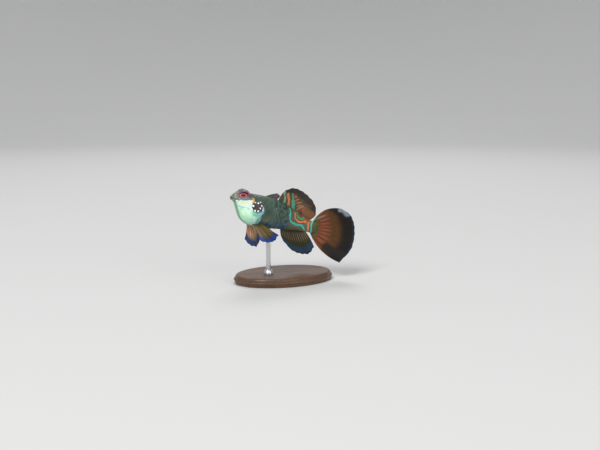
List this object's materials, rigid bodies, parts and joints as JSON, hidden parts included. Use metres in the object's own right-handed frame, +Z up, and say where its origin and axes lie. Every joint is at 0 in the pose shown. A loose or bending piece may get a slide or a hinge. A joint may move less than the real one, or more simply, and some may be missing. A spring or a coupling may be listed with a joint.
{
  "type": "mandarinfish",
  "caption": "Life-size model of a mandarinfish, hovering head up with its fins spread, on a short rod above an oval wooden base",
  "frame": {"origin": "centre of the underside of the stand's base", "axes": "+Z up, +X from the fish's head towards its tail, -Y on the fish's left"},
  "size_m": [0.0573, 0.034, 0.0432],
  "materials": {
    "skin": "wet, glossy, scaleless skin in blue-green with orange and green lines",
    "fin": "thin glossy membrane, red-brown with a dark blue margin",
    "pectoral": "thin, nearly clear membrane with a green tint",
    "eye": "clear gloss over a red-orange iris",
    "base": "dark, satin-oiled wood",
    "rod": "brushed"
  },
  "bodies": {
    "root": {"head": "skin", "trunk": "skin", "tail_stalk": "skin", "eye_left": "eye", "eye_right": "eye", "first_dorsal_fin": "fin", "second_dorsal_fin": "fin", "anal_fin": "fin", "tail_fin": "fin", "pelvic_fin_left": "fin", "pelvic_fin_right": "fin", "pectoral_fin_left": "pectoral", "pectoral_fin_right": "pectoral", "stand_base": "base", "stand_collar": "rod", "stand_rod": "rod"}
  },
  "joints": []
}
